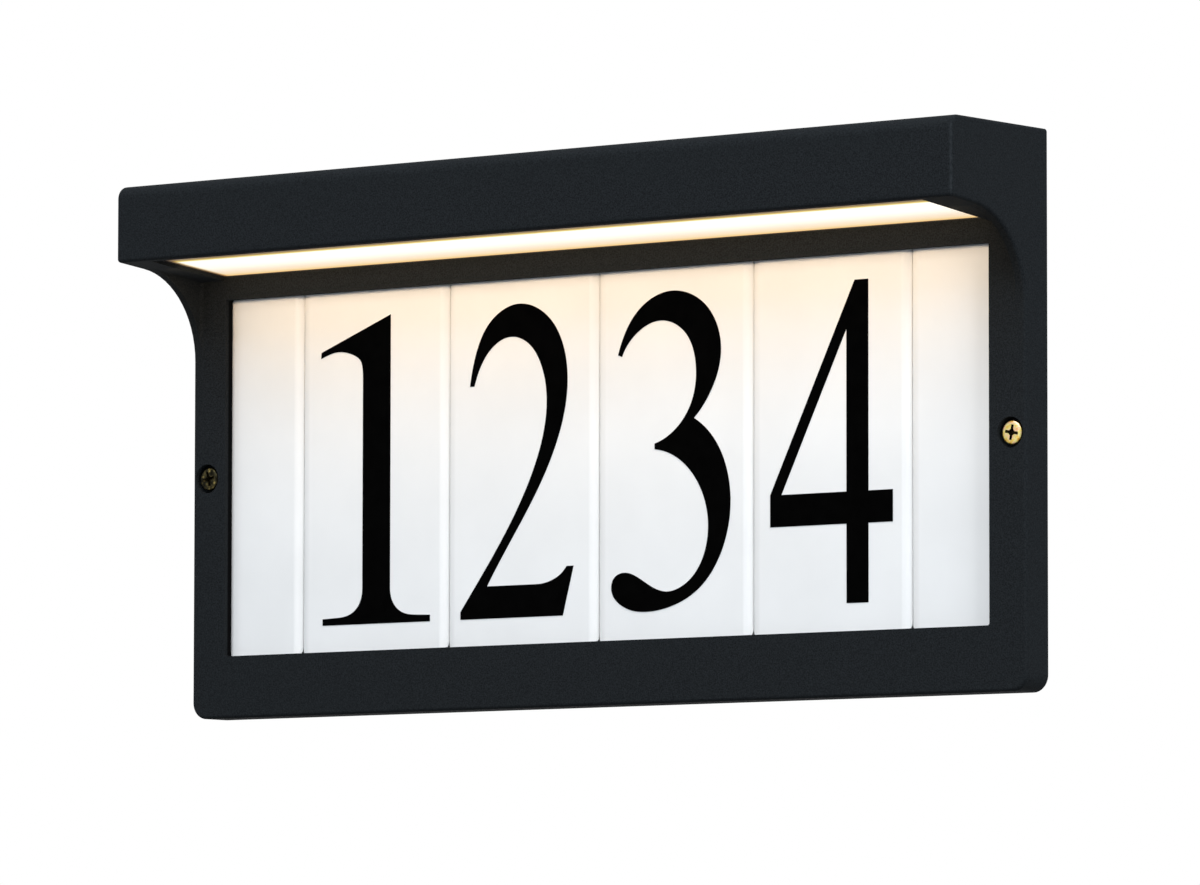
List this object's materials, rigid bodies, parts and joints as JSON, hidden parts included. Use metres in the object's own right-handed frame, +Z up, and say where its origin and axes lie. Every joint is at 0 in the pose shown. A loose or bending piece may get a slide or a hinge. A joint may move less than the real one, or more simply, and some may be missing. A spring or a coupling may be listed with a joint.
{
  "type": "illuminated house number sign",
  "caption": "Wall-mounted house number sign: a cast window frame holds glazed number tiles, and a strip lamp in the hood above them shines down through a frosted lens.",
  "frame": {"origin": "on the wall side of the back plate, in the middle of the sign's width and height", "axes": "+X to the viewer's right along the row of tiles, +Y into the wall, +Z up"},
  "size_m": [0.3482, 0.053, 0.18],
  "materials": {
    "black_powder_coat": "fine sand-textured satin black powder coat over cast aluminium",
    "zinc_steel_plate": "bright zinc-plated sheet",
    "plated_steel": "clear zinc plate",
    "glazed_tile": "white gloss glaze",
    "fired_black": "printed and fired gloss black",
    "yellow_zinc": "yellow zinc plate on steel",
    "frosted_lens": "frosted opal polycarbonate, lit from behind",
    "black_rubber": "matte black",
    "grey_foam": "closed-cell foam",
    "mill_aluminium": "mill finish folded sheet",
    "white_board": "white solder mask",
    "warm_lamp": "yellow phosphor lamp in a white case, lit",
    "grey_tape": "thermal tape",
    "black_plastic": "moulded satin black",
    "potting_resin": "cured epoxy",
    "grey_plastic": "moulded light grey",
    "red_insulation": "wire insulation",
    "black_insulation": "wire insulation"
  },
  "bodies": {
    "base": {"back_plate": "zinc_steel_plate", "plate_stand_offs": "plated_steel", "cable_grommet": "black_rubber", "tile_pad_lower": "grey_foam", "tile_pad_upper": "grey_foam"},
    "cover": {"housing": "black_powder_coat", "lens": "frosted_lens", "lens_seal": "black_rubber", "lamp_tray": "mill_aluminium", "tray_screws": "plated_steel", "thermal_tape": "grey_tape", "lamp_board": "white_board", "board_screws": "plated_steel", "lamps": "warm_lamp", "driver_case": "black_plastic", "driver_potting": "potting_resin", "driver_screws": "plated_steel", "terminal_block": "grey_plastic", "terminal_screws": "plated_steel", "terminal_fixing_screw": "plated_steel", "lamp_lead_positive": "red_insulation", "lamp_lead_negative": "black_insulation", "supply_lead_positive": "red_insulation", "supply_lead_negative": "black_insulation"},
    "left_screw": {"cover_screw_left": "yellow_zinc"},
    "right_screw": {"cover_screw_right": "yellow_zinc"},
    "tile_1": {"number_tile_1": "glazed_tile", "numeral_1": "fired_black"},
    "tile_2": {"number_tile_2": "glazed_tile", "numeral_2": "fired_black"},
    "tile_3": {"number_tile_3": "glazed_tile", "numeral_3": "fired_black"},
    "tile_4": {"number_tile_4": "glazed_tile", "numeral_4": "fired_black"},
    "left_blank": {"blank_tile_left": "glazed_tile"},
    "right_blank": {"blank_tile_right": "glazed_tile"}
  },
  "joints": [
    {"name": "cover_lift", "type": "slide", "parent": "base", "child": "cover", "axis": [0, -1, 0], "range_m": [0, 0.06]},
    {"name": "left_screw_out", "type": "slide", "parent": "cover", "child": "left_screw", "axis": [0, -1, 0], "range_m": [0, 0.02]},
    {"name": "right_screw_out", "type": "slide", "parent": "cover", "child": "right_screw", "axis": [0, -1, 0], "range_m": [0, 0.02]},
    {"name": "tile_1_back", "type": "slide", "parent": "cover", "child": "tile_1", "axis": [0, 1, 0], "range_m": [0, 0.03]},
    {"name": "tile_2_back", "type": "slide", "parent": "cover", "child": "tile_2", "axis": [0, 1, 0], "range_m": [0, 0.03]},
    {"name": "tile_3_back", "type": "slide", "parent": "cover", "child": "tile_3", "axis": [0, 1, 0], "range_m": [0, 0.03]},
    {"name": "tile_4_back", "type": "slide", "parent": "cover", "child": "tile_4", "axis": [0, 1, 0], "range_m": [0, 0.03]},
    {"name": "left_blank_back", "type": "slide", "parent": "cover", "child": "left_blank", "axis": [0, 1, 0], "range_m": [0, 0.03]},
    {"name": "right_blank_back", "type": "slide", "parent": "cover", "child": "right_blank", "axis": [0, 1, 0], "range_m": [0, 0.03]}
  ],
  "couplings": [
    {"joint": "tile_1_back", "follows": "cover_lift", "ratio": 0.5},
    {"joint": "tile_2_back", "follows": "cover_lift", "ratio": 0.5},
    {"joint": "tile_3_back", "follows": "cover_lift", "ratio": 0.5},
    {"joint": "tile_4_back", "follows": "cover_lift", "ratio": 0.5},
    {"joint": "left_blank_back", "follows": "cover_lift", "ratio": 0.5},
    {"joint": "right_blank_back", "follows": "cover_lift", "ratio": 0.5}
  ]
}
